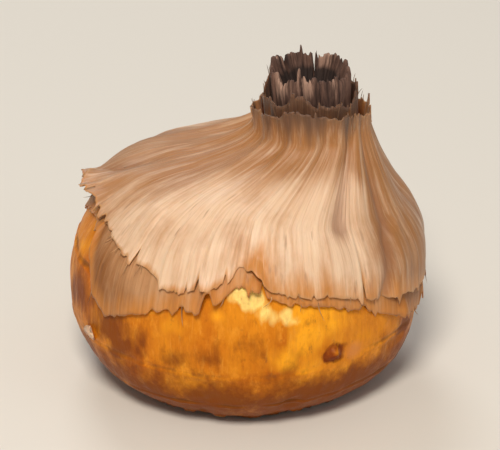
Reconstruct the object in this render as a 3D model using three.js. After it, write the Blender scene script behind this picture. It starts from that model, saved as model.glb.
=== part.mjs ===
// A gladiolus corm, lifted and dried. The corm itself is the swollen, solid base of last
// year's stem. Two papery husks, each one the dry base of a leaf, still wrap its upper part
// and are torn away below, and the hollow stub of the old flower stem stands on its crown.
// Millimetres, +Z up. The corm rests on its ring of root scars, and the notch in the torn
// edge of the outer husk faces -Y.
//
// A place on the corm is given by a bearing and a latitude, both in degrees. Bearing 0 faces
// -Y and bearing 90 faces +X. Latitude -90 is the root ring, 0 the girth and 90 the crown.

import * as THREE from 'three';

const { degToRad, smoothstep, lerp } = THREE.MathUtils;

const CORM = {
  width: 38.2,
  depth: 35.2,
  height: 24.6,
  girthHeight: 11.2,
  squareness: { below: 2.45, above: 2.12 }, // 2 is an ellipse in side view, and more is squarer
  crownRadius: 4.6,
  crownShift: 5.8, // how far off centre the crown grew, towards +X
  flatter: { bearing: 115, by: 0.045 }, // the side where it grew against its neighbour
  ringRadius: 8.8, // outer edge of the flat ring of root scars that it rests on
  scarRadius: 6.4, // the old corm below broke away here
  scarDepth: 1.1,
  rootScars: { count: 20, size: 0.45 },
  nodes: { latitudes: [-38, -12], depth: 0.3, wander: 2 }, // lines where leaves were joined
};

const HUSK_THICKNESS = 0.62;
const CLEARANCE = 0.32; // between one dry layer and the next
const SHOULDER = { latitude: 57, drop: 17 }; // where a husk leaves the corm, lower at +X
const TENT = { leaving: 1.4, arriving: 1 }; // pull of its curve from there up to the neck
const PLEAT_DEPTH = { shoulder: 0.12, neck: 0.15 };

// The neck stands on the crown. Heights on it are measured from there.
const NECK = { x: 7.2, y: 0.3, lean: -2 }; // lean: degrees over towards +X
const STUB = {
  radius: 4.05,
  boreRadius: 2.5,
  foot: 0.4,
  boreFloor: 6.2,
  rim: 11,
  raggedness: 0.5,
};

// torn: bearing and latitude along the lower edge. collar: where the husk ends on the neck.
const INNER_HUSK = {
  lift: CLEARANCE + HUSK_THICKNESS,
  torn: [
    [-180, -18], [-164, -23], [-152, -14], [-136, -12], [-122, 4], [-110, 18], [-100, 28],
    [-90, 33], [-80, 36], [-74, 37], [-69, 31], [-64, 20], [-59, 9], [-53, 3], [-46, 5],
    [-39, 9], [-33, 12], [-26, 15], [-18, 16], [-12, 19], [-8, 23], [-3, 30], [3, 27], [9, 22],
    [15, 18], [22, 16], [30, 13], [41, 9], [52, 4], [63, -2], [78, -6], [94, -3], [108, -13],
    [124, -9], [138, -19], [152, -14], [166, -22],
  ],
  collar: { radius: 5.05, from: 4.0, to: 8.3, raggedness: 0.8, tongue: 0.3 },
};
const OUTER_HUSK = {
  lift: 2 * (CLEARANCE + HUSK_THICKNESS),
  torn: [
    [-180, -6], [-174, -2], [-165, 42], [-157, 4], [-148, 9], [-138, 7], [-126, 19],
    [-114, 28], [-104, 34], [-95, 38], [-87, 37], [-78, 41], [-70, 41], [-62, 38], [-54, 35],
    [-44, 30], [-38, 31], [-34, 29], [-30, 24], [-21, 24], [-13, 26], [-8, 30], [-3, 37],
    [2, 35], [5, 31], [10, 26], [17, 23], [23, 20], [30, 20], [37, 17], [47, 13], [53, 10],
    [62, 8], [76, 4], [90, 4], [103, -4], [118, 1], [131, -8], [145, -3], [158, -11],
    [170, -5],
  ],
  collar: { radius: 6.3, from: 4.6, to: 6.4, raggedness: 0.5, tongue: 1.5 },
  // On this side the torn edge has dried away from the corm and stands out from it.
  flap: { bearing: -98, halfWidth: 38, reach: 1.4, curl: 1.0, depth: 24 },
};

const COLUMN_STEP = { bearing: 7, latitude: 14 }; // the most between two columns of a husk
const HUSK_ROWS = { side: 8, tent: 4, neck: 2 };
const CORM_COLUMNS = 60;
const STUB_COLUMNS = 28;

const huskSurface = { roughness: 0.55, metalness: 0 };
const MATERIALS = {
  corm: new THREE.MeshStandardMaterial({ color: 0xd8801c, roughness: 0.45, metalness: 0 }),
  innerHusk: new THREE.MeshStandardMaterial({ color: 0xa86f3c, ...huskSurface }),
  outerHusk: new THREE.MeshStandardMaterial({ color: 0xd3a680, ...huskSurface }),
  stub: new THREE.MeshStandardMaterial({ color: 0x86695a, roughness: 0.8, metalness: 0 }),
};

// A unit step away from the Z axis, at a bearing in degrees.
function outwards(bearing) {
  const angle = degToRad(bearing);
  return new THREE.Vector3(Math.sin(angle), -Math.cos(angle), 0);
}

// Radius of the corm at its girth: an ellipse with the slight lobes of grown tissue.
function girthRadius(bearing) {
  const angle = degToRad(bearing);
  const across = Math.sin(angle) / (CORM.width / 2);
  const along = Math.cos(angle) / (CORM.depth / 2);
  const lobes = 1 + 0.012 * Math.cos(3 * angle + 0.6) + 0.007 * Math.cos(5 * angle - 1.1);
  const turned = degToRad(bearing - CORM.flatter.bearing);
  const flat = CORM.flatter.by * Math.max(0, Math.cos(turned)) ** 4;
  return (lobes - flat) / Math.hypot(across, along);
}

// A point on the corm's side, moved out from it by lift.
function onCorm(bearing, latitude, lift) {
  const above = latitude > 0;
  const tip = above ? CORM.crownRadius : CORM.ringRadius;
  const rise = above ? CORM.height - CORM.girthHeight : -CORM.girthHeight;
  const reach = girthRadius(bearing) - tip;
  const power = 2 / (above ? CORM.squareness.above : CORM.squareness.below);
  const level = Math.abs(Math.cos(degToRad(latitude)));
  const climb = Math.abs(Math.sin(degToRad(latitude)));
  const normal = new THREE.Vector2(level ** (2 - power) / reach, climb ** (2 - power) / rise);
  normal.setLength(lift);
  const height = CORM.girthHeight + rise * climb ** power;
  const shift = above ? CORM.crownShift * (1 - level ** power) ** 2 : 0;
  const point = outwards(bearing).multiplyScalar(tip + reach * level ** power + normal.x);
  return point.add(new THREE.Vector3(shift, 0, height + normal.y));
}

// A point round the neck. Its rings are level, and each stands over a little from the last.
function onNeck(bearing, radius, height) {
  const aside = NECK.x + height * Math.tan(degToRad(NECK.lean));
  const point = outwards(bearing).multiplyScalar(radius);
  return point.add(new THREE.Vector3(aside, NECK.y, CORM.height + height));
}

// The folds that gather a husk towards the neck, from -1 to 1.
function pleats(bearing) {
  const angle = degToRad(bearing);
  return 0.55 * Math.cos(9 * angle + 1.2) + 0.45 * Math.cos(14 * angle - 0.5);
}

// An uneven height round a broken rim, from -1 to 1.
function ragged(bearing) {
  const angle = degToRad(bearing);
  return 0.6 * Math.cos(3 * angle + 0.4) + 0.4 * Math.cos(7 * angle + 1.9);
}

// The latitude of a torn edge at a bearing, on straight lines between its corners.
function tornLatitude(torn, bearing) {
  const corners = [...torn, [torn[0][0] + 360, torn[0][1]]];
  const next = corners.findIndex(([corner]) => corner > bearing);
  const [before, low] = corners[next - 1];
  const [after, high] = corners[next];
  return lerp(low, high, (bearing - before) / (after - before));
}

// The bearings of a husk's columns: each corner of the torn edge, and even steps between.
function huskBearings(torn) {
  return torn.flatMap(([bearing, latitude], i) => {
    const next = torn[(i + 1) % torn.length];
    const end = next[0] > bearing ? next[0] : next[0] + 360;
    const climb = Math.abs(next[1] - latitude) / COLUMN_STEP.latitude;
    const steps = Math.ceil(Math.max((end - bearing) / COLUMN_STEP.bearing, climb));
    return Array.from({ length: steps }, (_, k) => lerp(bearing, end, k / steps));
  });
}

// Bearings at even steps, once round.
function evenBearings(count) {
  return Array.from({ length: count }, (_, i) => (i / count) * 360 - 180);
}

// How far the flap is dried away from the corm at a bearing, and at a height in degrees of
// latitude above the torn edge. It stands out, and turns up along the edge itself.
function flapOffset(flap, bearing, height) {
  if (!flap || height > flap.depth) return { out: 0, up: 0 };
  const aside = Math.min(1, Math.abs(bearing - flap.bearing) / flap.halfWidth);
  const share = Math.cos(aside * Math.PI / 2) ** 1.5;
  const near = 1 - height / flap.depth;
  return { out: flap.reach * share * near ** 1.6, up: flap.curl * share * near ** 4 };
}

// One column of a husk's outer face, from its torn edge to its end on the neck.
function huskColumn({ lift, torn, collar, flap }, bearing) {
  const edge = tornLatitude(torn, bearing);
  const shoulder = SHOULDER.latitude - SHOULDER.drop * Math.sin(degToRad(bearing));
  const fold = PLEAT_DEPTH.shoulder * pleats(bearing);
  const side = Array.from({ length: HUSK_ROWS.side }, (_, row) => {
    const latitude = lerp(edge, shoulder, row / HUSK_ROWS.side);
    const { out, up } = flapOffset(flap, bearing, latitude - edge);
    const raised = lift + out + fold * smoothstep(latitude, 0, shoulder);
    return onCorm(bearing, latitude, raised).add(new THREE.Vector3(0, 0, up));
  });

  const leave = onCorm(bearing, shoulder, lift + fold);
  const heading = onCorm(bearing, shoulder + 5, lift).sub(onCorm(bearing, shoulder - 5, lift));
  const radius = collar.radius + PLEAT_DEPTH.neck * pleats(bearing);
  const tent = new THREE.CubicBezierCurve3(
    leave,
    leave.clone().add(heading.setLength(TENT.leaving)),
    onNeck(bearing, radius, collar.from - TENT.arriving),
    onNeck(bearing, radius, collar.from),
  ).getPoints(HUSK_ROWS.tent);

  const tongue = collar.tongue * Math.cos(degToRad(bearing));
  const end = collar.to + tongue + collar.raggedness * ragged(bearing);
  const neck = Array.from({ length: HUSK_ROWS.neck }, (_, row) => {
    return onNeck(bearing, radius, lerp(collar.from, end, (row + 1) / HUSK_ROWS.neck));
  });
  return [...side, ...tent, ...neck];
}

// Triangles between rings of count points, joined each to the next.
function sheetIndex(ringCount, count) {
  const index = [];
  for (let ring = 0; ring < ringCount - 1; ring += 1) {
    for (let i = 0; i < count; i += 1) {
      const j = (i + 1) % count;
      const [a, b] = [ring * count + i, ring * count + j];
      index.push(a, b, b + count, a, b + count, a + count);
    }
  }
  return index;
}

function surface(points, index) {
  const geometry = new THREE.BufferGeometry().setFromPoints(points);
  geometry.setIndex(index);
  geometry.computeVertexNormals();
  return geometry;
}

// A solid through rings of equal length, closed to a point at each end.
function solid(rings, ends) {
  const count = rings[0].length;
  const points = rings.flat();
  const index = sheetIndex(rings.length, count);
  const last = points.length - count;
  for (let i = 0; i < count; i += 1) {
    const j = (i + 1) % count;
    index.push(points.length, j, i, points.length + 1, last + i, last + j);
  }
  return surface([...points, ...ends], index);
}

// The solid corm: basal scar, flat root ring with its scars, grooved side and crown.
function cormGeometry() {
  const { scarRadius, scarDepth, ringRadius, rootScars, nodes } = CORM;
  const bearings = evenBearings(CORM_COLUMNS);
  const base = (radius, height, bump = 0) => bearings.map((bearing) => {
    const swell = bump * Math.max(0, Math.cos(degToRad(bearing * rootScars.count)));
    return outwards(bearing).multiplyScalar(radius + swell).setZ(height);
  });
  const side = (latitude) => bearings.map((bearing) => {
    const groove = nodes.latitudes.includes(latitude) ? nodes.depth : 0;
    const fade = Math.cos(degToRad(latitude));
    const wander = nodes.wander * fade * Math.cos(degToRad(2 * bearing + 40));
    return onCorm(bearing, latitude + wander, -groove);
  });
  const sideLatitudes = [-75, -66, -57, -49, -41, -38, -35, -28, -21, -15, -12, -9, -2, 6, 14,
    22, 30, 38, 46, 54, 62, 70, 79, 90];
  const rings = [
    base(scarRadius * 0.45, scarDepth),
    base(scarRadius * 0.85, scarDepth * 0.85),
    base(scarRadius, 0),
    base(ringRadius, 0),
    base(ringRadius + 2 * rootScars.size, rootScars.size, rootScars.size),
    ...sideLatitudes.map(side),
  ];
  const scarCentre = new THREE.Vector3(0, 0, scarDepth * 1.15);
  const crownCentre = new THREE.Vector3(CORM.crownShift, 0, CORM.height);
  return solid(rings, [scarCentre, crownCentre]);
}

// A husk: a sheet, given its thickness inwards and closed along its torn edge and its end.
function huskGeometry(husk) {
  const columns = huskBearings(husk.torn).map((bearing) => huskColumn(husk, bearing));
  const count = columns.length;
  const outside = columns[0].flatMap((_, row) => columns.map((column) => column[row]));
  const sheet = sheetIndex(columns[0].length, count);
  const normals = surface(outside, sheet).getAttribute('normal');
  const inside = outside.map((point, i) => {
    const normal = new THREE.Vector3().fromBufferAttribute(normals, i);
    return point.clone().addScaledVector(normal, -HUSK_THICKNESS);
  });
  const size = outside.length;
  const index = [...sheet, ...sheet.map((i) => i + size).reverse()];
  for (let i = 0; i < count; i += 1) {
    const j = (i + 1) % count;
    const [a, b] = [size - count + i, size - count + j];
    index.push(j, i, i + size, j, i + size, j + size);
    index.push(a, b, b + size, a, b + size, a + size);
  }
  return surface([...outside, ...inside], index);
}

// The old stem, cut short and dried: a thick tube with a closed foot and a broken rim.
function stubGeometry() {
  const bearings = evenBearings(STUB_COLUMNS);
  const ring = (radius, height, broken = 0) => bearings.map((bearing) => {
    const folded = radius * (1 + 0.03 * pleats(bearing));
    return onNeck(bearing, folded, height + broken * ragged(bearing));
  });
  const { radius, boreRadius, foot, boreFloor, rim, raggedness } = STUB;
  const rings = [
    ring(radius * 0.94, foot),
    ring(radius, foot + 1),
    ring(radius * 0.98, (foot + rim) / 2),
    ring(radius * 1.03, rim - 0.5, raggedness),
    ring(lerp(radius, boreRadius, 0.25), rim, raggedness),
    ring(lerp(radius, boreRadius, 0.8), rim - 0.2, raggedness),
    ring(boreRadius, rim - 1.2, raggedness),
    ring(boreRadius * 0.92, boreFloor + 1),
    ring(boreRadius * 0.6, boreFloor),
  ];
  return solid(rings, [onNeck(0, 0, foot), onNeck(0, 0, boreFloor)]);
}

function piece(name, geometry, material) {
  const mesh = new THREE.Mesh(geometry, material);
  mesh.name = name;
  return mesh;
}

const corm = new THREE.Group();
corm.add(
  piece('corm', cormGeometry(), MATERIALS.corm),
  piece('inner_husk', huskGeometry(INNER_HUSK), MATERIALS.innerHusk),
  piece('outer_husk', huskGeometry(OUTER_HUSK), MATERIALS.outerHusk),
  piece('old_stem_stub', stubGeometry(), MATERIALS.stub),
);

// The origin is under the middle of the whole, at the height of the surface it rests on.
const extent = new THREE.Box3().setFromObject(corm, true);
const middle = extent.getCenter(new THREE.Vector3());
corm.position.set(-middle.x, -middle.y, -extent.min.z);

const root = new THREE.Group();
root.add(corm);

export default root;
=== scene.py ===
"""A gladiolus corm, lifted and dried. Two papery leaf bases still wrap its upper part and are torn
away below, and the hollow stub of the old flower stem stands on its crown."""

import functools
import math

import bmesh
import bpy
import numpy as np
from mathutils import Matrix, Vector, noise


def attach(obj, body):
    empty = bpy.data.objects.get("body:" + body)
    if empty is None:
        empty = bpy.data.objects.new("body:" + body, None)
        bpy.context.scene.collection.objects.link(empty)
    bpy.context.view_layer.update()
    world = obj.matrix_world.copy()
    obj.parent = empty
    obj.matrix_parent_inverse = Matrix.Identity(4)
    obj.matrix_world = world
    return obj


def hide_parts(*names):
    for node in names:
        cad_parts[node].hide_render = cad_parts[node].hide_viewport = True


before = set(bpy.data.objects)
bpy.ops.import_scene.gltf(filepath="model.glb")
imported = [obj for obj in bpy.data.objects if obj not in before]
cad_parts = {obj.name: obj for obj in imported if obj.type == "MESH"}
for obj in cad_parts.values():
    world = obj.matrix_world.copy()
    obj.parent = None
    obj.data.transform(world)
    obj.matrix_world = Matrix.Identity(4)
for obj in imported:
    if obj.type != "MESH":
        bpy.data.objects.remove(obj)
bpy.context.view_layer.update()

# Shapes are worked out in millimetres about the corm's own upright axis. A place on the corm is
# a bearing and a latitude in degrees: bearing 0 faces -Y and 90 faces +X, latitude -90 is the
# root ring, 0 the girth and 90 the crown.
MM = 0.001
CORM_AXIS = np.array([-0.8867, -0.6203, 0.0])  # where that axis stands in the shared frame

WIDTH, DEPTH, HEIGHT = 38.2, 35.2, 24.6  # of the corm without its husks
GIRTH_HEIGHT = 11.2  # where it is widest
SQUARENESS = {"below": 2.45, "above": 2.12}  # of its side's outline: 2 is an ellipse
CROWN_RADIUS = 4.6
CROWN_SHIFT = 5.8  # towards +X
FLATTER = {"bearing": 115, "by": 0.045}  # the side where it grew against its neighbour
RING_RADIUS = 8.8  # of the root ring, which it rests on
MM_PER_DEGREE = 0.29  # of latitude, on the corm's side
MM_PER_BEARING = 0.325  # for a degree of bearing, round the girth
TUBE_RADIUS = 18.5  # of the straight tube that patterns along the leaf's veins are drawn on

SHOULDER = {"latitude": 57, "drop": 17}  # where the husks leave the corm; lowest on the +X side
TENT = {"leaving": 1.4, "arriving": 1.7, "uneven": 0.9}  # their sweep from there to the neck
NECK = {"x": 7.2, "y": 0.3, "lean": -2}  # the lean is in degrees, towards +X
STUB = {
    "radius": 4.05, "bore": 2.5, "foot": 0.4, "bore_floor": 6.2, "rim": 10.8,
    "strands": {"count": 120, "seed": 3, "split": 2.6, "spike": 0.8},
    # Where its fibres have bleached: bearing, width in degrees, and how much.
    "bleached": [(-48, 15, 1.15), (-7, 10, 1), (36, 12, 0.6), (150, 24, 0.8), (-120, 12, 0.8)],
}

# torn: bearing and latitude along the lower edge. collar: where the husk ends on the neck.
# glow: how far in mm from the torn edge the flesh shows through, from bearing to bearing.
# patches: where it is darker, or lighter if the last number is below 0, by bearing and
# latitude, width in mm and how much; they are browning and bleaching, with painted shade and
# painted highlights among them. weathered: the heights on the neck between which it turns
# dark. strands: how many strands its edge is torn into.
INNER_HUSK = {
    "lift": {"edge": 0.42, "above": 0.62},  # off the corm
    "torn": [
        (-180, -18), (-164, -23), (-152, -14), (-136, -12), (-122, 4), (-110, 18), (-100, 28),
        (-90, 33), (-80, 36), (-74, 37), (-69, 31), (-64, 20), (-59, 9), (-53, 3), (-46, 5),
        (-39, 9), (-33, 12), (-26, 15), (-18, 16), (-12, 19), (-8, 23), (-3, 30), (3, 27), (9, 22),
        (15, 20), (22, 18.5), (30, 15.5), (41, 10.5), (52, 4), (63, -2), (78, -6), (94, -3),
        (108, -13), (124, -9), (138, -19), (152, -14), (166, -22),
    ],
    "collar": {"radius": 4.95, "from": 4.0, "to": 8.3, "raggedness": 0.8, "tongue": 0.3,
               "flare": 0.15},
    "pleat": {"shoulder": 0.1, "neck": 0.12},
    "glow": {"reach": [(-58, 3.2), (-50, 4.4), (-36, 3.8), (-10, 5.5), (50, 5.5), (66, 2.5),
                       (110, 3)], "most": 0.85},
    # Its lower left lobe is darkened with painted shade, with some browning.
    "patches": [((-57, 14), 4.5, 0.9), ((-46, 7), 3.0, 0.5)],
    "weathered": {"from": 4.4, "to": 7.6},
    "strands": {"count": 240, "seed": 5},
}
OUTER_HUSK = {
    "over": INNER_HUSK,
    "lift": {"edge": 0.36, "above": 0.9},  # off the inner husk
    "torn": [
        (-180, -6), (-174, -2), (-165, 42), (-157, 4), (-148, 9), (-138, 7), (-126, 19),
        (-114, 28), (-104, 34), (-95, 38), (-87, 37), (-78, 41), (-70, 41), (-62, 38), (-54, 35),
        (-44, 30), (-38, 31), (-34, 29), (-30, 24), (-21, 24), (-13, 26), (-8, 30), (-3, 37),
        (2, 35), (5, 31), (10, 26), (17, 23), (23, 20), (30, 20), (37, 17), (47, 13), (53, 10),
        (62, 8), (76, 4), (90, 4), (103, -4), (118, 1), (131, -8), (145, -3), (158, -11),
        (170, -5),
    ],
    "collar": {"radius": 6.1, "from": 4.6, "to": 6.4, "raggedness": 0.5, "tongue": 1.5,
               "flare": 0.35},
    "pleat": {"shoulder": 0.16, "neck": 0.25},
    "glow": {"reach": [(-55, 0.4), (-38, 1.1), (-8, 1.5), (10, 4.6), (56, 4.6), (80, 1.2)],
             "most": 0.9},
    "patches": [((-48, 46), 2.4, -0.7), ((60, 67), 2.4, -0.7), ((-52, 66), 3.5, 0.4),
                ((74, 24), 4.0, 1.1), ((12, 64), 2.0, -0.3)],
    "weathered": {"from": 3.4, "to": 8.6},
    "strands": {"count": 270, "seed": 12},
    # Where its lower edge stands out from the corm.
    "flap": {"bearing": -98, "half_width": 38, "reach": 1.5, "curl": 1.0, "depth": 24},
}
HUSK_THICKNESS = 0.13  # a real one is thinner still, but its edge would be lost in the picture
VEINS = 98  # round each husk, about 1.2 mm apart at the girth: finer ones wouldn't show
# Creases of the outer husk: (latitude, bearing) along each, then half width and depth in mm, and
# how much painted shade darkens it.
CREASES = [
    ([(33, -1), (41, -1), (52, -5)], 1.2, 0.3, 0.2),
    ([(46, 39), (62, 40), (80, 34)], 1.0, 0.3, 1.4),
    ([(56, 50), (72, 52), (84, 46)], 0.7, 0.2, 0.2),
    ([(8, 51), (22, 55), (34, 57), (50, 66)], 1.0, 0.4, 1.0),
    ([(30, -100), (40, -99), (50, -96), (62, -92)], 1.0, 0.6, 0.9),
    ([(10, 92), (60, 88)], 1.2, 0.35, 0.6),
    ([(5, 128), (62, 120)], 1.5, 0.4, 0.7),
    ([(0, 171), (60, 160)], 1.2, 0.35, 0.6),
    ([(20, -134), (64, -128)], 1.4, 0.4, 0.7),
]
# Where the outer husk is worn so thin that the flesh colours it.
WARM_STAIN = {"bearing": 4.5, "latitude": 34, "mm_per_bearing": 0.29, "width": 1.8, "most": 1.6}

BASE_SHARE, SIDE_END = 0.13, 0.97  # of the flesh's rows, up to the side and to the crown
# Under the corm, from the middle of the old corm's scar to the root ring: share of the rows,
# radius and height.
UNDERSIDE = [(0, 0, 1.27), (0.04, 2.9, 1.1), (0.08, 5.6, 0.86), (0.1, 6.5, 0),
             (BASE_SHARE, RING_RADIUS, 0)]
NODE_LINES = [-38, -12, 17]  # latitudes where leaves were joined
NODE_WANDER = 2
BUDS = [(32, -6.5), (-150, -30), (-118, -3)]  # each in the crook of a lost leaf
ROOT_SCARS = {"count": 58, "latitudes": [-74, -69, -63], "seed": 23}
SCRAP = (-61, -9)  # where a flake of husk has stuck
# Blotches on the flesh: bearing and latitude, width in mm, and how strong.
# The dark ones are bruises, with painted shade among those low down and on the left.
BRUISES_AND_SHADE = [
    ((-25, -7), 2.4, 1.05), ((-14, -4), 1.8, 0.9), ((18, -22), 3.0, 0.8), ((38, -24), 3.4, 0.9),
    ((-72, 4), 3.8, 1.1), ((1, 2), 2.6, 0.5), ((-62, -20), 4.0, 0.9), ((68, -9), 3.4, 0.95),
    ((-104, 6), 4.5, 0.8), ((150, -20), 5.0, 0.7), ((104, -22), 3.4, 0.7),
]
# Painted shade on the lower left, with bruising.
DEEP_BRUISES_AND_SHADE = [((-52, -1), 3.8, 1.5), ((-46, -9), 3.4, 1.4)]
# Light ones: fresh flesh, with painted highlights on the front.
FRESH_AND_HIGHLIGHTS = [
    ((22, 4), 3.6, 1.2), ((32, 7), 3.0, 1.15), ((14, -5), 2.8, 1.0), ((46, -2), 2.8, 0.8),
    ((22, -10), 2.4, 0.9), ((20, 13), 2.8, 1.1), ((30, 12), 2.6, 1.0), ((-26, 8), 2.6, 0.8),
    ((-10, 15), 1.6, 0.9), ((-77, 22), 2.0, 0.7), ((170, -8), 5.0, 0.8), ((120, -16), 4.0, 0.7),
    ((-128, -10), 3.6, 0.7),
]
# A pale strip under the torn edge: newly bared flesh, and a painted highlight.
PALE_AND_HIGHLIGHTS = [
    ((-2, 26), 1.8, 1.6), ((3, 22), 1.9, 1.6), ((7.5, 17.5), 1.9, 1.5), ((12.5, 14.5), 1.7, 1.05),
    ((17, 12), 1.3, 0.7),
]
ROSY = [((41, -9), 2.0, 1.0)]


def cosine(degrees):
    return np.cos(np.radians(degrees))


def sine(degrees):
    return np.sin(np.radians(degrees))


def fade(value, low, high):
    """From 0 at low to 1 at high, with a smooth start and end."""
    share = np.clip((value - low) / (high - low), 0, 1)
    return share * share * (3 - 2 * share)


def spot(distance, width):
    """1 at no distance, falling away smoothly over width."""
    return np.exp(-((distance / width) ** 2))


def points(x, y, z):
    return np.stack(np.broadcast_arrays(x, y, z), axis=-1)


def outwards(bearing):
    """The level direction of a bearing, of length 1."""
    return points(sine(bearing), -cosine(bearing), 0.0)


def unit(vectors):
    return vectors / np.linalg.norm(vectors, axis=-1, keepdims=True)


def rough(places, size, seed):
    """Smooth random lumps of that size in mm, from about -1 to 1."""
    shift = Vector((seed * 7.31, seed * 3.17, seed * 5.73))
    return np.array([noise.noise(Vector(place) / size + shift) for place in places])


def girth_radius(bearing):
    lobes = 1 + 0.012 * cosine(3 * bearing + 34.4) + 0.007 * cosine(5 * bearing - 63)
    flat = FLATTER["by"] * np.maximum(0, cosine(bearing - FLATTER["bearing"])) ** 4
    return (lobes - flat) / np.hypot(sine(bearing) / (WIDTH / 2), cosine(bearing) / (DEPTH / 2))


def on_corm(bearing, latitude, lift=0.0):
    """A point on the corm's side, moved out from it by lift."""
    above = latitude > 0
    tip = np.where(above, CROWN_RADIUS, RING_RADIUS)
    rise = np.where(above, HEIGHT - GIRTH_HEIGHT, -GIRTH_HEIGHT)
    reach = girth_radius(bearing) - tip
    power = 2 / np.where(above, SQUARENESS["above"], SQUARENESS["below"])
    level, climb = np.abs(cosine(latitude)), np.abs(sine(latitude))
    out, up = level ** (2 - power) / reach, climb ** (2 - power) / rise
    scale = lift / np.hypot(out, up)
    shift = np.where(above, CROWN_SHIFT * (1 - level**power) ** 2, 0)
    side = outwards(bearing) * (tip + reach * level**power + out * scale)[..., None]
    return side + points(shift, 0.0, GIRTH_HEIGHT + rise * climb**power + up * scale)


def on_neck(bearing, radius, height):
    """A point round the neck: a leaning stack of level rings."""
    aside = NECK["x"] + height * math.tan(math.radians(NECK["lean"]))
    ring = outwards(bearing) * np.asarray(radius)[..., None]
    return ring + points(aside, NECK["y"], HEIGHT + height)


def pleats(bearing):
    """Soft folds round the neck and shoulder, from -1 to 1."""
    return 0.55 * cosine(9 * bearing + 68.8) + 0.45 * cosine(14 * bearing - 28.6)


def ragged(bearing):
    """How a torn end rises and falls round the neck, from -1 to 1."""
    return 0.6 * cosine(3 * bearing + 22.9) + 0.4 * cosine(7 * bearing + 108.9)


def lumps(places):
    """The broad unevenness of the corm, which the husks on it follow."""
    return 0.34 * rough(places, 10, 1) + 0.12 * rough(places, 4.2, 2)


def strand_ends(bearing, count, seed, split=2.2, spike=1.1):
    """How far in mm the strands of a torn edge end above or below its general line. A few have
    split away, as much as split above it, or were left standing, as much as spike below it."""
    rng = np.random.default_rng(seed)
    ends = rng.normal(0, 0.18, count)
    ends += np.where(rng.random(count) < 0.07, rng.uniform(0.3, 1, count) ** 2 * split, 0)
    ends -= np.where(rng.random(count) < 0.09, rng.uniform(0.2, 1, count) ** 2 * spike, 0)
    widths = rng.uniform(0.3, 1.7, count) ** 2
    widths *= 360 / widths.sum()
    borders = np.cumsum(widths)
    corners = np.stack([borders - 0.8 * widths, borders - 0.25 * widths], axis=-1).ravel()
    return np.interp(bearing, corners, np.repeat(ends, 2), period=360)


# ---------------------------------------------------------------- rolling a sheet into a shape


def rolled(name, columns, rows, place):
    """A grid of faces rolled once round: place gives its points for turn and along, both from
    0 to 1. The seam is merged, and so is an end that closes to a point."""
    mesh = bpy.data.meshes.new(name)
    sheet = bmesh.new()
    sheet.loops.layers.uv.new("unrolled")
    bmesh.ops.create_grid(sheet, x_segments=columns, y_segments=rows, size=0.5, calc_uvs=True)
    sheet.to_mesh(mesh)
    flat = read(mesh, "position", 3)[:, :2] + 0.5
    mark(mesh, "turn", flat[:, 0])
    mark(mesh, "along", flat[:, 1])
    put(mesh, place(flat[:, 0], flat[:, 1]))
    sheet.clear()
    sheet.from_mesh(mesh)
    bmesh.ops.remove_doubles(sheet, verts=sheet.verts, dist=1e-4 * MM)
    sheet.to_mesh(mesh)
    sheet.free()
    mesh.shade_smooth()
    return mesh


def read(mesh, name, size=1):
    values = np.zeros(len(mesh.vertices) * size)
    field = "vector" if size == 3 else "value"
    mesh.attributes[name].data.foreach_get(field, values)
    return values.reshape(-1, size) if size > 1 else values


def mark(mesh, name, values):
    """Keeps a number for every point of the mesh, for its material to read."""
    kept = mesh.attributes.new(name, "FLOAT", "POINT")
    kept.data.foreach_set("value", np.ascontiguousarray(values, dtype=np.float32))


def put(mesh, places):
    """Moves the mesh's points to places in mm about the corm's axis."""
    moved = ((places + CORM_AXIS) * MM).astype(np.float32)
    mesh.vertices.foreach_set("co", moved.ravel())
    mesh.update()


def places_of(mesh):
    return read(mesh, "position", 3) / MM - CORM_AXIS


def normals_of(mesh):
    values = np.zeros(len(mesh.vertices) * 3)
    mesh.vertices.foreach_get("normal", values)
    return values.reshape(-1, 3)


def raise_by(mesh, relief):
    put(mesh, places_of(mesh) + normals_of(mesh) * relief[:, None])


def fibre_places(bearing, height):
    """Where a fibre would lie if the husk were a straight tube: patterns that follow the leaf's
    veins are drawn there, so they close up towards the neck as the veins do."""
    return points(TUBE_RADIUS * sine(bearing), -TUBE_RADIUS * cosine(bearing), height)


def mark_fibres(mesh, places):
    kept = mesh.attributes.new("fibre", "FLOAT_VECTOR", "POINT")
    kept.data.foreach_set("vector", (places * MM).astype(np.float32).ravel())


def make_piece(name, mesh, material, node, thickness=0.0):
    mesh.materials.append(material)
    piece = bpy.data.objects.new(name, mesh)
    bpy.context.scene.collection.objects.link(piece)
    if thickness:
        wall = piece.modifiers.new("thickness", "SOLIDIFY")
        wall.thickness = thickness * MM
        wall.offset = -1
    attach(piece, "root")
    if node:
        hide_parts(node)


# ---------------------------------------------------------------- materials


def colour(code):
    """A linear colour from an sRGB hex code."""
    parts = [int(code[i : i + 2], 16) / 255 for i in (1, 3, 5)]
    linear = [p / 12.92 if p <= 0.04045 else ((p + 0.055) / 1.055) ** 2.4 for p in parts]
    return (*linear, 1.0)


def add_node(tree, kind, inputs, output=0, **settings):
    """Adds a node with its settings, its values and its links, and gives one of its outputs."""
    made = tree.nodes.new(kind)
    for name, value in settings.items():
        setattr(made, name, value)
    for name, value in inputs.items():
        if isinstance(value, bpy.types.NodeSocket):
            tree.links.new(value, made.inputs[name])
        else:
            made.inputs[name].default_value = value
    return made.outputs[output] if made.outputs else None


def new_material(name):
    material = bpy.data.materials.new(name)
    material.use_nodes = True
    material.node_tree.nodes.clear()
    return material, functools.partial(add_node, material.node_tree)


def per(size):
    """The scale of a pattern whose features are that many mm across."""
    return 1 / (size * MM)


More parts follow.
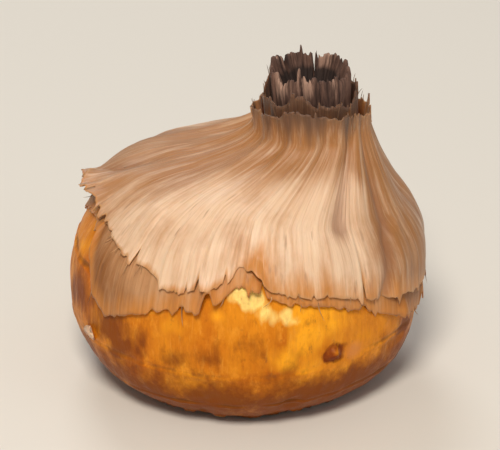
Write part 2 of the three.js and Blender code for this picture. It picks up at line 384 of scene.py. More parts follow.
def flesh_material():
    # Living storage tissue under a thin waxy skin: light sinks a little way in, so the orange
    # glows at its edges, with a soft shine, and it is mottled where it has dried or bruised.
    # Painted shade darkens it low down and on the left, and painted highlights lighten its front.
    material, add = new_material("Corm flesh, living, waxy skin")
    here = add("ShaderNodeTexCoord", {}, "Object")
    skin = add("ShaderNodeAttribute", {}, "Vector", attribute_name="fibre")
    drawn = add("ShaderNodeMapping", {"Vector": skin, "Scale": (1, 1, 0.5)})
    streaks = add("ShaderNodeMapping", {"Vector": skin, "Scale": (1, 1, 0.14)})
    broad = add("ShaderNodeTexNoise", {"Vector": drawn, "Scale": per(6), "Detail": 5.0,
                                       "Roughness": 0.6})
    small = add("ShaderNodeTexNoise", {"Vector": drawn, "Scale": per(1.6), "Detail": 6.0,
                                       "Roughness": 0.68})
    hair = add("ShaderNodeTexNoise", {"Vector": streaks, "Scale": per(0.5), "Detail": 4.0,
                                      "Roughness": 0.7})
    pores = add("ShaderNodeTexVoronoi", {"Vector": here, "Scale": per(1.5)})
    patch = add("ShaderNodeMapRange", {"Value": broad, "From Min": 0.36, "From Max": 0.66})
    tone = add("ShaderNodeMixRGB", {"Fac": patch, "Color1": colour("#C46A0A"),
                                    "Color2": colour("#E8941A")})
    broken = add("ShaderNodeMapRange", {"Value": small, "From Min": 0.34, "From Max": 0.64,
                                        "To Min": 0.5, "To Max": 1.35})
    # bright and pale are fresh flesh, with painted highlights.
    for name, shade, most in (("bright", "#FFAE20", 0.9), ("pale", "#FFE084", 0.93)):
        amount = add("ShaderNodeAttribute", {}, "Fac", attribute_name=name)
        amount = add("ShaderNodeMath", {0: broken, 1: amount}, operation="MULTIPLY")
        amount = add("ShaderNodeMapRange", {"Value": amount, "From Min": 0.26, "From Max": 0.78,
                                            "To Max": most})
        tone = add("ShaderNodeMixRGB", {"Fac": amount, "Color1": tone, "Color2": colour(shade)})
    for pattern, low, high, most, shade in (
        (small, 0.5, 0.75, 0.5, "#A84C06"),
        (small, 0.46, 0.3, 0.35, "#FFB43A"),
        (hair, 0.54, 0.72, 0.26, "#A0500A"),
        (hair, 0.44, 0.3, 0.22, "#FFC050"),
        (pores, 0.14, 0.06, 0.28, "#94480C"),
    ):
        amount = add("ShaderNodeMapRange", {"Value": pattern, "From Min": low, "From Max": high,
                                            "To Max": most})
        tone = add("ShaderNodeMixRGB", {"Fac": amount, "Color1": tone, "Color2": colour(shade)})
    # The underside is corky: the old corm came away there, and the roots have died back.
    crumbs = add("ShaderNodeTexNoise", {"Vector": here, "Scale": per(2.4), "Detail": 6.0,
                                        "Roughness": 0.62})
    crumbs = add("ShaderNodeMapRange", {"Value": crumbs, "From Min": 0.36, "From Max": 0.64})
    cork_tone = add("ShaderNodeMixRGB", {"Fac": crumbs, "Color1": colour("#5A3E2C"),
                                         "Color2": colour("#866449")})
    # The dark mark is browner and bruised flesh, with painted shade.
    for name, shade, most in (
        ("rosy", colour("#D98A4E"), 0.6),
        ("dark", colour("#7C3A04"), 0.9),
        ("bud", colour("#7A2F06"), 0.9),
        ("scar", colour("#7C4A1C"), 0.75),
        ("cork", cork_tone, 0.95),
    ):
        amount = add("ShaderNodeAttribute", {}, "Fac", attribute_name=name)
        amount = add("ShaderNodeMath", {0: small, 1: 1.1, 2: amount}, operation="MULTIPLY_ADD")
        amount = add("ShaderNodeMapRange", {"Value": amount, "From Min": 0.7, "From Max": 1.3,
                                            "To Max": most})
        tone = add("ShaderNodeMixRGB", {"Fac": amount, "Color1": tone, "Color2": shade})
    gloss = add("ShaderNodeMapRange", {"Value": small, "From Min": 0.3, "From Max": 0.7,
                                       "To Min": 0.34, "To Max": 0.54})
    cork = add("ShaderNodeAttribute", {}, "Fac", attribute_name="cork")
    gloss = add("ShaderNodeMath", {0: cork, 1: 0.4, 2: gloss}, operation="MULTIPLY_ADD")
    bump = add("ShaderNodeMath", {0: small, 1: 1.6, 2: hair}, operation="MULTIPLY_ADD")
    bump = add("ShaderNodeBump", {"Height": bump, "Strength": 0.4, "Distance": 0.14 * MM})
    wax = add("ShaderNodeBsdfPrincipled", {
        "Base Color": tone, "Roughness": gloss, "Normal": bump, "IOR": 1.38,
        "Specular IOR Level": 0.24,
        "Subsurface Weight": 0.18, "Subsurface Radius": (1.0, 0.42, 0.12),
        "Subsurface Scale": 1.4 * MM})
    add("ShaderNodeOutputMaterial", {"Surface": wax})
    return material


def husk_material(name, shades, roughness):
    """A dry leaf base. Shades are those of its pale middle, its light streaks, its tan, veins,
    folds and rim, and the one that the flesh gives it where it is thin. The tan is laid on partly
    as painted shade towards its top and sides, and the fold shade as painted shade in its creases.
    At the neck it has weathered dark."""
    pale, light, tan, vein_shade, fold_shade, rim_shade, glow_shade = map(colour, shades)
    material, add = new_material(name)
    here = add("ShaderNodeTexCoord", {}, "Object")
    fibre = add("ShaderNodeAttribute", {}, "Vector", attribute_name="fibre")
    lines = add("ShaderNodeMapping", {"Vector": fibre, "Scale": (1, 1, 0.05)})
    broad_lines = add("ShaderNodeMapping", {"Vector": fibre, "Scale": (1, 1, 0.2),
                                            "Location": (0.021, 0.008, 0)})
    fine = add("ShaderNodeTexNoise", {"Vector": lines, "Scale": per(0.42), "Detail": 4.0,
                                      "Roughness": 0.7})
    streak = add("ShaderNodeTexNoise", {"Vector": broad_lines, "Scale": per(1.7), "Detail": 5.0,
                                        "Roughness": 0.6})
    cloud = add("ShaderNodeTexNoise", {"Vector": here, "Scale": per(6), "Detail": 4.0,
                                       "Roughness": 0.6})
    fleck = add("ShaderNodeTexNoise", {"Vector": broad_lines, "Scale": per(0.8), "Detail": 2.0})
    vein = add("ShaderNodeAttribute", {}, "Fac", attribute_name="vein")
    # This mark is browning, with painted shade towards the top, back and sides.
    aged_and_shaded = add("ShaderNodeAttribute", {}, "Fac", attribute_name="aged_and_shaded")
    uneven = add("ShaderNodeMath", {0: cloud, 1: 0.5, 2: aged_and_shaded}, operation="MULTIPLY_ADD")
    uneven = add("ShaderNodeMath", {0: streak, 1: 0.55, 2: uneven}, operation="MULTIPLY_ADD")
    aged_and_shaded = add("ShaderNodeMapRange", {"Value": uneven, "From Min": 0.5, "From Max": 1.65},
               interpolation_type="SMOOTHSTEP")
    tone = add("ShaderNodeMixRGB", {"Fac": aged_and_shaded, "Color1": pale, "Color2": tan})
    glow = add("ShaderNodeAttribute", {}, "Fac", attribute_name="glow")
    glow = add("ShaderNodeMath", {0: streak, 1: 1.6, 2: glow}, operation="MULTIPLY_ADD")
    glow = add("ShaderNodeMapRange", {"Value": glow, "From Min": 0.9, "From Max": 1.85})
    tone = add("ShaderNodeMixRGB", {"Fac": glow, "Color1": tone, "Color2": glow_shade})
    for pattern, low, high, most, shade in (
        (streak, 0.5, 0.78, 0.34, tan),
        (streak, 0.5, 0.28, 0.38, light),
        (cloud, 0.52, 0.75, 0.35, tan),
        (fine, 0.48, 0.72, 0.36, vein_shade),
        (fine, 0.46, 0.3, 0.24, light),
        (vein, 0.4, 1.0, 0.34, vein_shade),
        (fleck, 0.66, 0.76, 0.45, fold_shade),
    ):
        amount = add("ShaderNodeMapRange", {"Value": pattern, "From Min": low, "From Max": high,
                                            "To Max": most})
        tone = add("ShaderNodeMixRGB", {"Fac": amount, "Color1": tone, "Color2": shade})
    weathered_tone = add("ShaderNodeMapRange", {"Value": fine, "From Min": 0.34, "From Max": 0.66})
    weathered_tone = add("ShaderNodeMixRGB", {"Fac": weathered_tone, "Color1": colour("#33211A"),
                                              "Color2": colour("#76543E")})
    # The fold mark is painted shade in the creases.
    for mark_name, shade, most in (("fold", fold_shade, 0.6), ("rim", rim_shade, 0.6),
                                   ("weathered", weathered_tone, 0.92)):
        amount = add("ShaderNodeAttribute", {}, "Fac", attribute_name=mark_name)
        amount = add("ShaderNodeMath", {0: fine, 1: 0.9, 2: amount}, operation="MULTIPLY_ADD")
        amount = add("ShaderNodeMapRange", {"Value": amount, "From Min": 0.6, "From Max": 1.4,
                                            "To Max": most})
        tone = add("ShaderNodeMixRGB", {"Fac": amount, "Color1": tone, "Color2": shade})
    gloss = add("ShaderNodeMapRange", {"Value": fine, "From Min": 0.3, "From Max": 0.7,
                                       "To Min": roughness, "To Max": roughness + 0.18})
    bump = add("ShaderNodeBump", {"Height": fine, "Strength": 0.55, "Distance": 0.1 * MM})
    paper = add("ShaderNodeBsdfPrincipled", {
        "Base Color": tone, "Roughness": gloss, "Normal": bump, "IOR": 1.45,
        "Subsurface Weight": 0.3, "Subsurface Radius": (1.0, 0.6, 0.35),
        "Subsurface Scale": 0.5 * MM, "Sheen Weight": 0.1, "Sheen Roughness": 0.4})
    add("ShaderNodeOutputMaterial", {"Surface": paper})
    return material


def stem_material():
    # A dead, hollow stem: dull grey-brown fibres with a purple cast, bleached where they fray,
    # and painted shade darkens its bore.
    material, add = new_material("Dried stem, fibrous")
    fibre = add("ShaderNodeAttribute", {}, "Vector", attribute_name="fibre")
    lines = add("ShaderNodeMapping", {"Vector": fibre, "Scale": (1, 1, 0.09)})
    fine = add("ShaderNodeTexNoise", {"Vector": lines, "Scale": per(0.7), "Detail": 5.0,
                                      "Roughness": 0.72})
    tone = add("ShaderNodeMapRange", {"Value": fine, "From Min": 0.36, "From Max": 0.66})
    tone = add("ShaderNodeMixRGB", {"Fac": tone, "Color1": colour("#33201A"),
                                    "Color2": colour("#7C5C4E")})
    for name, shade in (("rim", "#B4917E"), ("bore", "#1C100C")):
        amount = add("ShaderNodeAttribute", {}, "Fac", attribute_name=name)
        amount = add("ShaderNodeMath", {0: fine, 1: 3.0, 2: amount}, operation="MULTIPLY_ADD")
        amount = add("ShaderNodeMapRange", {"Value": amount, "From Min": 1.8,
                                            "From Max": 2.6, "To Max": 0.9})
        tone = add("ShaderNodeMixRGB", {"Fac": amount, "Color1": tone, "Color2": colour(shade)})
    bump = add("ShaderNodeBump", {"Height": fine, "Strength": 0.8, "Distance": 0.16 * MM})
    fibres = add("ShaderNodeBsdfPrincipled", {"Base Color": tone, "Roughness": 0.78,
                                              "Normal": bump, "IOR": 1.45})
    add("ShaderNodeOutputMaterial", {"Surface": fibres})
    return material


def fibre_material(name, dark, light):
    # Loose plant fibre: straw-dull, darker in places along its length.
    material, add = new_material(name)
    here = add("ShaderNodeTexCoord", {}, "Object")
    along = add("ShaderNodeTexNoise", {"Vector": here, "Scale": per(1.2), "Detail": 3.0})
    along = add("ShaderNodeMapRange", {"Value": along, "From Min": 0.35, "From Max": 0.65})
    tone = add("ShaderNodeMixRGB", {"Fac": along, "Color1": colour(dark),
                                    "Color2": colour(light)})
    straw = add("ShaderNodeBsdfPrincipled", {"Base Color": tone, "Roughness": 0.65,
                                             "IOR": 1.45})
    add("ShaderNodeOutputMaterial", {"Surface": straw})
    return material


def board_material():
    # A smooth white-painted board, matt.
    material, add = new_material("Painted board, matt")
    paint = add("ShaderNodeBsdfPrincipled", {"Base Color": colour("#DEDAD2"), "Roughness": 0.8})
    add("ShaderNodeOutputMaterial", {"Surface": paint})
    return material


# ---------------------------------------------------------------- the corm


def flesh_latitude(along):
    return np.interp(along, [BASE_SHARE, SIDE_END], [-90, 90])


def flesh_place(turn, along):
    """From the middle of the old corm's scar, out over the root ring, up the side to the crown."""
    bearing = turn * 360 - 180
    shares, radii, heights = np.transpose(UNDERSIDE)
    base = outwards(bearing) * np.interp(along, shares, radii)[..., None]
    base = base + points(0.0, 0.0, np.interp(along, shares, heights))
    side = on_corm(bearing, flesh_latitude(along))
    inwards = CROWN_RADIUS * np.interp(along, [SIDE_END, 1], [1, 0])
    crown = outwards(bearing) * inwards[..., None] + points(CROWN_SHIFT, 0.0, HEIGHT)
    zone = along[..., None]
    return np.where(zone < BASE_SHARE, base, np.where(zone <= SIDE_END, side, crown))


def around(bearing, middle):
    """Degrees from a middle bearing, from -180 to 180."""
    return (bearing - middle + 180) % 360 - 180


def apart(bearing, latitude, place):
    """Distance in mm along the skin from a bearing and latitude on the side."""
    aside = around(bearing, place[0]) * MM_PER_BEARING * cosine(place[1]) ** 0.5
    return np.hypot(aside, (latitude - place[1]) * MM_PER_DEGREE)


def flesh_mesh():
    mesh = rolled("corm_flesh", 380, 210, flesh_place)
    bearing = read(mesh, "turn") * 360 - 180
    along = read(mesh, "along")
    latitude = flesh_latitude(along)
    places = places_of(mesh)
    on_side = fade(latitude, -84, -62)
    skin = fibre_places(bearing, latitude * MM_PER_DEGREE)

    relief = lumps(places)
    relief += 0.07 * rough(skin * [1, 1, 0.22], 1.5, 3) + 0.03 * rough(places, 0.9, 4)
    # Shallow dents where the flesh has shrunk, mostly low down.
    dents = rough(skin * [1, 1, 0.7], 3.2, 6)
    relief -= 0.3 * fade(dents, 0.25, 0.7) * fade(-latitude, -8, 25)
    relief *= on_side

    scar = np.zeros_like(latitude)
    wander = NODE_WANDER * cosine(latitude) * cosine(2 * bearing + 40)
    for line in NODE_LINES:
        uneven = 0.35 * rough(skin, 4, 5 + line) + 0.16 * rough(skin, 1.2, 8)
        gap = (latitude + wander - line) * MM_PER_DEGREE + uneven
        strong = np.maximum(0, 0.5 + 0.8 * rough(skin, 3.0, 9))
        # At the front the middle line is faint, and the top one has worn away.
        if line == NODE_LINES[1]:
            strong *= 1 - 0.6 * spot(around(bearing, 5), 55)
        if line == NODE_LINES[-1]:
            strong *= 1 - fade(bearing, -52, -40) * (1 - fade(bearing, 60, 90))
        relief += strong * (0.14 * spot(gap + 0.5, 0.4) - 0.2 * spot(gap, 0.32))
        scar = np.maximum(scar, strong * spot(gap, 0.3))

    bud = np.zeros_like(latitude)
    for place in BUDS:
        away = apart(bearing, latitude, place) * (1 + 0.34 * rough(places, 1.1, 12))
        tip = apart(bearing, latitude, (place[0], place[1] + 1.6))
        # A blunt point, with the edges of its scales as rings round it.
        relief += 0.6 * spot(away, 0.85) + 0.35 * spot(tip, 0.4) - 0.24 * spot(away - 1.2, 0.2)
        relief -= 0.16 * spot(away - 0.68, 0.11)
        ringed = (0.5 + 0.5 * rough(places, 0.8, 13)) * spot(away - 1.2, 0.3)
        ringed += 0.3 * spot(away - 0.68, 0.16)
        bud = np.maximum(bud, 0.75 * spot(away, 1.2) + ringed - 0.35 * spot(tip, 0.35))

    rng = np.random.default_rng(ROOT_SCARS["seed"])
    for i in range(ROOT_SCARS["count"]):
        place = (i * 360 / ROOT_SCARS["count"] + rng.uniform(-2, 2),
                 rng.choice(ROOT_SCARS["latitudes"]) + rng.uniform(-2, 2))
        away = apart(bearing, latitude, place)
        relief += 0.22 * spot(away - 0.42, 0.2) - 0.1 * spot(away, 0.25)
        scar = np.maximum(scar, 0.9 * spot(away, 0.5))

    # The old corm's scar is crumbly.
    within = 1 - fade(along, 0.075, 0.105)
    relief += within * (0.22 * rough(places, 1.3, 31) + 0.1 * rough(places, 0.5, 32))
    raised = places + normals_of(mesh) * relief[:, None]
    raised[:, 2] = np.maximum(raised[:, 2], 0)
    put(mesh, raised)

    patches = rough(skin * [1, 1, 0.5], 3.4, 41) + 0.5 * rough(skin * [1, 1, 0.5], 1.3, 42)
    edges = rough(skin * [1, 1, 0.4], 1.1, 43) + 0.6 * rough(skin * [1, 1, 0.3], 0.5, 44)

    def blotches(listed, uneven):
        """How strong the listed blotches are everywhere, with uneven edges."""
        made = []
        for place, width, amount in listed:
            away = apart(bearing, latitude, place) + width * 0.5 * uneven * edges
            inside = fade(-away, -1.3 * width, 0.1 * width)
            made.append(amount * inside * (0.8 + uneven * patches))
        return np.maximum.reduce(made)

    # Darker low down, in patches and towards the root ring: browner flesh, and painted shade.
    dark = 0.7 * fade(patches, 0.2, 0.75) * fade(-latitude, -25, 5)
    low = 0.85 * fade(-latitude, 2, 34) + 0.3 * dents * fade(-latitude, 5, 20)
    dark = np.maximum.reduce([dark, low, blotches(BRUISES_AND_SHADE, 0.6), blotches(DEEP_BRUISES_AND_SHADE, 0.55)])
    bright = blotches(FRESH_AND_HIGHLIGHTS, 0.5)
    dark *= 1 - 0.6 * np.clip(bright, 0, 1)
    mark_fibres(mesh, skin)
    mark(mesh, "bright", bright)
    mark(mesh, "pale", blotches(PALE_AND_HIGHLIGHTS, 0.9))
    mark(mesh, "rosy", blotches(ROSY, 0.6))
    mark(mesh, "dark", dark)
    mark(mesh, "bud", bud)
    mark(mesh, "scar", scar)
    cork = np.maximum(1 - fade(along, 0.1, 0.15), 0.8 * fade(-latitude, 60, 82))
    mark(mesh, "cork", cork * (1.2 + 0.5 * rough(places, 2.4, 33) + 0.25 * rough(places, 0.9, 34)))
    return mesh


# ---------------------------------------------------------------- husks

SIDE_SHARE, TENT_SHARE = 0.66, 0.86  # of a husk's rows, up to its shoulder and to its collar
TENT_LENGTH = 16  # mm from its shoulder to its end on the neck, about


def line_of(husk, bearing):
    """Latitude of a husk's lower edge, from corner to corner."""
    return np.interp(bearing, *np.transpose(husk["torn"]), period=360)


def torn_edge(husk, bearing):
    """The same edge, torn strand by strand."""
    return line_of(husk, bearing) + strand_ends(bearing, **husk["strands"]) / MM_PER_DEGREE


def shoulder_of(bearing):
    return SHOULDER["latitude"] - SHOULDER["drop"] * sine(bearing)


def lift_of(husk, bearing, latitude):
    """How far off the corm a husk lies, which is least at its torn edge."""
    lift = husk["lift"]
    height = latitude - torn_edge(husk, bearing)
    own = lift["edge"] + (lift["above"] - lift["edge"]) * fade(height, 0, 24)
    return own + (lift_of(husk["over"], bearing, latitude) if "over" in husk else 0)


def husk_place(husk, turn, along):
    """Up the side from the torn edge to the shoulder, like a tent to the collar, up the neck."""
    bearing = turn * 360 - 180
    edge, shoulder = torn_edge(husk, bearing), shoulder_of(bearing)
    latitude = edge + (shoulder - edge) * np.clip(along / SIDE_SHARE, 0, 1)
    raised = lift_of(husk, bearing, latitude)
    up = 0.0
    if "flap" in husk:
        flap = husk["flap"]
        aside = np.minimum(1, np.abs(bearing - flap["bearing"]) / flap["half_width"])
        share = np.maximum(0, cosine(aside * 90)) ** 1.5
        near = np.clip(1 - (latitude - edge) / flap["depth"], 0, 1)
        raised = raised + flap["reach"] * share * near**1.6
        up = flap["curl"] * share * near**4
    side = on_corm(bearing, latitude, raised) + points(0.0, 0.0, up)

    collar, pleat = husk["collar"], husk["pleat"]
    top = lift_of(husk, bearing, shoulder)
    leave = on_corm(bearing, shoulder, top)
    heading = unit(on_corm(bearing, shoulder + 5, top) - on_corm(bearing, shoulder - 5, top))
    radius = collar["radius"] + pleat["neck"] * pleats(bearing)
    start = collar["from"] + TENT["uneven"] * rough(fibre_places(bearing, 0.0), 6, 19)
    arrive = on_neck(bearing, radius, start)
    below = on_neck(bearing, radius, start - TENT["arriving"])
    t = np.clip((along - SIDE_SHARE) / (TENT_SHARE - SIDE_SHARE), 0, 1)[..., None]
    tent = ((1 - t) ** 3 * leave + 3 * (1 - t) ** 2 * t * (leave + heading * TENT["leaving"])
            + 3 * (1 - t) * t**2 * below + t**3 * arrive)

    end = collar["to"] + collar["tongue"] * cosine(bearing) + collar["raggedness"] * ragged(bearing)
    end = end - strand_ends(bearing, 110, husk["strands"]["seed"] + 1, split=1.6, spike=1.2)
    share = np.clip((along - TENT_SHARE) / (1 - TENT_SHARE), 0, 1)
    flare = collar["flare"] * share**2 * (0.6 + 0.4 * ragged(2 * bearing + 50))
    neck = on_neck(bearing, radius + flare, start + (end - start) * share)
    zone = along[..., None]
    return np.where(zone <= SIDE_SHARE, side, np.where(zone <= TENT_SHARE, tent, neck))


def husk_mesh(name, husk, columns, rows, creases):
    mesh = rolled(name, columns, rows, functools.partial(husk_place, husk))
    bearing = read(mesh, "turn") * 360 - 180
    along = read(mesh, "along")
    edge, shoulder = torn_edge(husk, bearing), shoulder_of(bearing)
    latitude = edge + (shoulder - edge) * np.clip(along / SIDE_SHARE, 0, 1)
    beyond = np.clip((along - SIDE_SHARE) / (1 - SIDE_SHARE), 0, 1)
    fibre = fibre_places(bearing, latitude * MM_PER_DEGREE + beyond * TENT_LENGTH)
    from_edge = (latitude - edge) * MM_PER_DEGREE + beyond * TENT_LENGTH
    on_collar = fade(along, TENT_SHARE - 0.05, TENT_SHARE + 0.05)
    closing = 1 - 0.5 * on_collar
    places = places_of(mesh)
    seed = husk["strands"]["seed"]

    waver = 14 * rough(fibre * [0.6, 0.6, 0.1], 6, seed)
    ridge = np.maximum(0, cosine(VEINS * bearing + 40 * waver)) ** 1.5
    vein = ridge * (0.6 + 0.7 * rough(fibre * [1, 1, 0.1], 2.2, seed + 1))
    relief = 0.05 * vein * closing
    relief += 0.06 * rough(fibre * [1, 1, 0.16], 1.5, seed + 2) * closing
    relief += 0.17 * rough(fibre * [1, 1, 0.35], 4.2, 3) * (1 - on_collar)
    relief += lumps(places) * (1 - fade(along, SIDE_SHARE, TENT_SHARE))
    relief += husk["pleat"]["shoulder"] * pleats(bearing) * fade(latitude, 10, 60) * closing
    # The lower edge has dried into small waves, and turns out here and there.
    wave = rough(fibre_places(bearing, 0.0), 2.8, seed + 4)
    relief += 0.75 * fade(wave, 0, 0.8) * (1 - fade(from_edge, 0, 2.6)) * (1 - beyond)

    fold = np.zeros_like(bearing)
    for line, width, depth, painted_shade in creases:
        latitudes, bearings = np.transpose(line)
        aside = around(bearing, np.interp(latitude, latitudes, bearings))
        mm_per_bearing = 0.31 * np.maximum(0.35, cosine(latitude))  # less towards the crown
        away = aside * mm_per_bearing + 0.25 * rough(fibre, 3, seed + 5)
        ends = (fade(latitude, latitudes[0] - 10, latitudes[0] + 4)
                * (1 - fade(latitude, latitudes[-1] - 6, latitudes[-1] + 12)) * (1 - beyond))
        groove = np.exp((0.15 - np.hypot(away, 0.15)) / (0.7 * width)) * ends
        lip = spot(away - 1.9 * width, 1.3 * width) * ends
        relief += depth * (0.6 * lip - groove)
        # Painted shade in the crease.
        fold = np.maximum(fold, painted_shade * spot(away, width) * ends)
    raise_by(mesh, relief)

    mark_fibres(mesh, fibre)
    mark(mesh, "vein", vein)
    mark(mesh, "fold", fold)
    chipped = 0.7 + 0.9 * rough(fibre_places(bearing, 0.0), 1.6, seed + 6)
    to_end = (1 - along) / (1 - TENT_SHARE) * 3  # mm to its end on the neck, about
    mark(mesh, "rim", chipped * np.maximum(spot(from_edge, 0.4), 0.9 * spot(to_end, 0.7)))
    # It is darker towards the neck, at the back and on both sides: browned, and painted shade.
    # Its patches add browning and bleaching, with painted shade and painted highlights among them.
    left_side = fade(-bearing, 46, 70) * (1 - fade(-bearing, 125, 145))
    right_side = fade(bearing, 42, 62) * (1 - fade(bearing, 150, 178))
    aged_and_shaded = fade(places[:, 2], 24.3, 28) + 0.4 * fade(places[:, 1], 2, 12)
    aged_and_shaded += 0.8 * left_side + (1.1 - 0.7 * fade(latitude, 42, 58)) * right_side
    for place, width, amount in husk["patches"]:
        aged_and_shaded += amount * spot(apart(bearing, latitude, place), width) * (1 - beyond)
    mark(mesh, "aged_and_shaded", np.clip(aged_and_shaded, 0, 1))
    glow, weathered = husk["glow"], husk["weathered"]
    reach = np.interp(bearing, *np.transpose(glow["reach"]))
    thin = glow["most"] * (1 - fade(from_edge, 0, reach)) * (1 - beyond)
    if "over" in husk:
        aside = around(bearing, WARM_STAIN["bearing"]) * WARM_STAIN["mm_per_bearing"]
        aside = aside * (1 + 0.4 * rough(fibre * [1, 1, 0.3], 1.4, 71))
        away = np.hypot(aside, (latitude - WARM_STAIN["latitude"]) * 0.5 * MM_PER_DEGREE)
        stained = WARM_STAIN["most"] * spot(away, WARM_STAIN["width"]) * (1 - beyond)
        thin = np.maximum(thin, stained)
    mark(mesh, "glow", thin)
    up_neck = places[:, 2] - HEIGHT + 2.2 * rough(fibre_places(bearing, 0.0), 2.2, seed + 7)
    mark(mesh, "weathered", fade(up_neck, weathered["from"], weathered["to"]))
    return mesh


# ---------------------------------------------------------------- the stem stub


def stub_place(turn, along):
    """Up the outside from the foot, over the broken rim and down the bore."""
    bearing = turn * 360 - 180
    radius, bore, rim, floor = (STUB[k] for k in ("radius", "bore", "rim", "bore_floor"))
    stations = [0, 0.04, 0.1, 0.4, 0.6, 0.64, 0.66, 0.69, 0.78, 0.9, 0.97, 1]
    radii = [0, radius * 0.94, radius, radius * 0.98, radius * 1.02, radius,
             radius * 0.97, radius * 0.91, bore * 1.12, bore * 0.95, bore * 0.6, 0]
    heights = [STUB["foot"], STUB["foot"], 1.4, 5.7, rim - 0.5, rim, rim, rim - 0.7,
               rim - 2.6, floor + 0.9, floor, floor]
    near_rim = spot(along - 0.65, 0.09)
    broken = 0.5 * ragged(bearing) - strand_ends(bearing, **STUB["strands"])
    out = np.interp(along, stations, radii) * (1 + 0.05 * pleats(bearing))
    return on_neck(bearing, out, np.interp(along, stations, heights) + near_rim * broken)


def stub_mesh():
    mesh = rolled("stem_stub", 340, 110, stub_place)
    bearing = read(mesh, "turn") * 360 - 180
    along = read(mesh, "along")
    places = places_of(mesh)
    fibre = points(4 * sine(bearing), -4 * cosine(bearing), places[:, 2])
    inner = fade(along, 0.67, 0.71)
    # Its fibres have dried into sharp ridges.
    relief = 0.14 - 0.34 * np.abs(rough(fibre * [1, 1, 0.08], 0.5, 51))
    relief += 0.06 * rough(fibre * [1, 1, 0.12], 0.26, 54)
    relief += 0.16 * rough(fibre * [1, 1, 0.25], 1.8, 52)
    raise_by(mesh, relief * fade(along, 0.02, 0.1) * (1 - fade(along, 0.9, 1)))
    mark_fibres(mesh, fibre)
    # Painted shade inside the bore.
    mark(mesh, "bore", 1.8 * inner * fade(along, 0.69, 0.76))
    bleached = np.maximum.reduce([most * spot(around(bearing, middle), width)
                                  for middle, width, most in STUB["bleached"]])
    mark(mesh, "rim", spot(along - 0.62, 0.11) * bleached)
    return mesh


# ---------------------------------------------------------------- loose bits


def add_strand(sheet, path, width):
    """A thin four-sided fibre along a path in mm, closed to a point at both ends."""
    made = bmesh.ops.create_grid(sheet, x_segments=4, y_segments=len(path) - 1, size=0.5)["verts"]
    flat = np.array([point.co[:2] for point in made]) + 0.5
    row = np.rint(flat[:, 1] * (len(path) - 1)).astype(int)
    heading = unit(np.gradient(path, axis=0))
    side = unit(np.cross(heading, [0.31, 0.17, 0.93]))
    over = np.cross(side, heading)
    share = np.linspace(0, 1, len(path))
    half = width / 2 * np.minimum(1, 6 * share) * np.sqrt(np.maximum(0, 1 - share))
    turn = flat[:, :1] * 360
    ring = half[row][:, None] * (cosine(turn) * side[row] + sine(turn) * over[row])
    for point, place in zip(made, (path[row] + ring + CORM_AXIS) * MM):
        point.co = place


def strands_piece(name, paths, material):
    sheet = bmesh.new()
    for path, width in paths:
        add_strand(sheet, path, width)
    bmesh.ops.remove_doubles(sheet, verts=sheet.verts, dist=1e-4 * MM)
    bmesh.ops.recalc_face_normals(sheet, faces=sheet.faces)
    mesh = bpy.data.meshes.new(name)
    sheet.to_mesh(mesh)
    sheet.free()
    mesh.shade_smooth()
    make_piece(name, mesh, material, None)


def edge_fibres():
    """Fibres left hanging where the husks tore, each running on down from its own vein."""
    rng = np.random.default_rng(77)
    for husk, count in ((OUTER_HUSK, 26), (INNER_HUSK, 18)):
        for bearing in rng.uniform(-180, 180, count):
            edge = torn_edge(husk, np.array([bearing]))[0]
            length = rng.uniform(0.6, 1) ** 2 * rng.choice([1.2, 2.0, 3.2], p=[0.55, 0.35, 0.1])
            share = np.linspace(-0.5, 1, 8)
            down = edge - share * length / MM_PER_DEGREE
            sideways = bearing + rng.normal(0, 1.5) * np.maximum(share, 0) ** 1.5
            lift = lift_of(husk, bearing, edge) + lumps(on_corm(bearing, np.array([edge])))[0]
            lift = np.maximum(0.15, lift + rng.uniform(-0.5, 0.9) * np.maximum(share, 0) ** 1.5)
            yield on_corm(sideways, down, lift), rng.uniform(0.1, 0.17)


def neck_fibres():
    """Fibres that stand up round the neck, bent out a little."""
    rng = np.random.default_rng(91)
    for husk, count in ((OUTER_HUSK, 11), (INNER_HUSK, 12)):
        collar = husk["collar"]
        for bearing in rng.uniform(-180, 180, count):
            share = np.linspace(0, 1, 8)
            length = rng.uniform(1.0, 2.6)
            top = collar["to"] + collar["tongue"] * cosine(bearing) - 0.8
            bent = rng.uniform(-0.1, 0.6) * share**2
            aside = bearing + rng.normal(0, 3.5) * share**1.5
            yield (on_neck(aside, collar["radius"] + bent, top + length * share),
                   rng.uniform(0.1, 0.16))


def scrap_mesh():
    """A flake of husk the size of a sesame seed, stuck low on the flesh."""
    mesh = bpy.data.meshes.new("husk_scrap")
    sheet = bmesh.new()
    bmesh.ops.create_circle(sheet, cap_ends=True, segments=28, radius=1)
    bmesh.ops.inset_region(sheet, faces=sheet.faces, thickness=0.3)
    bmesh.ops.inset_region(sheet, faces=[max(sheet.faces, key=lambda f: len(f.verts))],
                           thickness=0.3)
    bmesh.ops.triangulate(sheet, faces=sheet.faces)
    sheet.to_mesh(mesh)
    sheet.free()
    flat = read(mesh, "position", 3)[:, :2]
    size = 1 + 0.3 * rough(points(flat[:, 0], flat[:, 1], 0.0), 0.6, 61)
    across, up = flat[:, 0] * size * 0.85, flat[:, 1] * size * 1.15
    bearing, latitude = SCRAP[0] + across / MM_PER_BEARING, SCRAP[1] + up / MM_PER_DEGREE
    lift = 0.22 + 0.28 * across**2 + 0.12 * up
    base = on_corm(bearing, latitude, 0.0)
    put(mesh, on_corm(bearing, latitude, lift + lumps(base)))
    mark_fibres(mesh, fibre_places(bearing, latitude * MM_PER_DEGREE))
    for name, value in (("vein", 0.3), ("fold", 0), ("aged_and_shaded", 0), ("glow", 0), ("weathered", 0)):
        mark(mesh, name, np.full(len(mesh.vertices), value))
    mark(mesh, "rim", fade(np.hypot(*flat.T), 0.7, 1.0) * 0.5)
    mesh.shade_smooth()
    return mesh


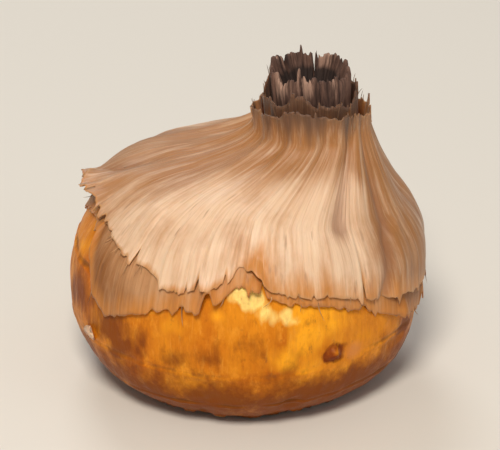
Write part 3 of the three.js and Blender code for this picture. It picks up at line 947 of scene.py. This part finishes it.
# ---------------------------------------------------------------- the object

make_piece("corm_flesh", flesh_mesh(), flesh_material(), "corm")
# The outer leaf base: bleached, thin as paper and faintly silky, with fine parallel veins.
outer_look = husk_material("Dry leaf base, outer, silky",
                           ("#E9C2A2", "#F5D8BC", "#A36E3C", "#A8744A", "#8A5E44", "#BC9064",
                            "#D08A44"), 0.4)
# The inner one has kept more of its brown, and is duller.
inner_look = husk_material("Dry leaf base, inner, dull",
                           ("#BE8C60", "#D4A478", "#8C541E", "#7E4E24", "#5E381E", "#A06A3A",
                            "#CE8434"), 0.5)
make_piece("inner_husk_leaf", husk_mesh("inner_husk_leaf", INNER_HUSK, 440, 76, []),
           inner_look, "inner_husk", HUSK_THICKNESS)
make_piece("outer_husk_leaf", husk_mesh("outer_husk_leaf", OUTER_HUSK, 600, 78, CREASES),
           outer_look, "outer_husk", HUSK_THICKNESS)
make_piece("stem_stub", stub_mesh(), stem_material(), "old_stem_stub")
strands_piece("torn_edge_fibres", edge_fibres(),
              fibre_material("Leaf fibre, dry", "#7A4E2C", "#C59A6C"))
strands_piece("neck_fibres", neck_fibres(),
              fibre_material("Leaf fibre, weathered", "#4A3022", "#8A6444"))
make_piece("husk_scrap", scrap_mesh(), outer_look, None, HUSK_THICKNESS)

# ---------------------------------------------------------------- floor, light and camera


def area_light(name, place, aim, size, power, tint):
    lamp = bpy.data.lights.new(name, "AREA")
    lamp.shape, lamp.size, lamp.energy = "DISK", size, power
    lamp.color = colour(tint)[:3]
    holder = bpy.data.objects.new(name, lamp)
    holder.location = place
    holder.rotation_euler = (Vector(aim) - Vector(place)).to_track_quat("-Z", "Y").to_euler()
    bpy.context.scene.collection.objects.link(holder)


board = bpy.data.meshes.new("floor")
surface = bmesh.new()
bmesh.ops.create_grid(surface, x_segments=1, y_segments=1, size=1.5)
surface.to_mesh(board)
surface.free()
board.materials.append(board_material())
floor = bpy.data.objects.new("floor", board)
bpy.context.scene.collection.objects.link(floor)

area_light("key", (-0.05, -0.36, 0.46), (0, 0, 0.012), 0.17, 2.7, "#FFF6EA")
area_light("fill", (0.42, -0.26, 0.24), (0, 0, 0.012), 0.3, 0.15, "#F2F5FF")
area_light("back", (-0.1, 0.4, 0.4), (0, 0, 0.015), 0.25, 0.9, "#FFFFFF")
world = bpy.data.worlds.new("studio")
world.use_nodes = True
background = world.node_tree.nodes["Background"]
background.inputs["Color"].default_value = colour("#F4F1EC")
background.inputs["Strength"].default_value = 0.32
bpy.context.scene.world = world

VIEW_ELEVATION = math.radians(27)
VIEW_DISTANCE = 0.41
LOOKED_AT = Vector((-0.0004, 0, 0.0166))
FOCAL_LENGTH = 273  # mm: the frame is 54 mm wide at the corm
lens = bpy.data.cameras.new("camera")
lens.sensor_width = 36
lens.lens = FOCAL_LENGTH
camera = bpy.data.objects.new("camera", lens)
towards_camera = Vector((0, -math.cos(VIEW_ELEVATION), math.sin(VIEW_ELEVATION)))
camera.location = LOOKED_AT + VIEW_DISTANCE * towards_camera
camera.rotation_euler = (LOOKED_AT - camera.location).to_track_quat("-Z", "Y").to_euler()
bpy.context.scene.collection.objects.link(camera)
bpy.context.scene.camera = camera
bpy.context.scene.view_settings.view_transform = "Standard"  # shades without a film curve
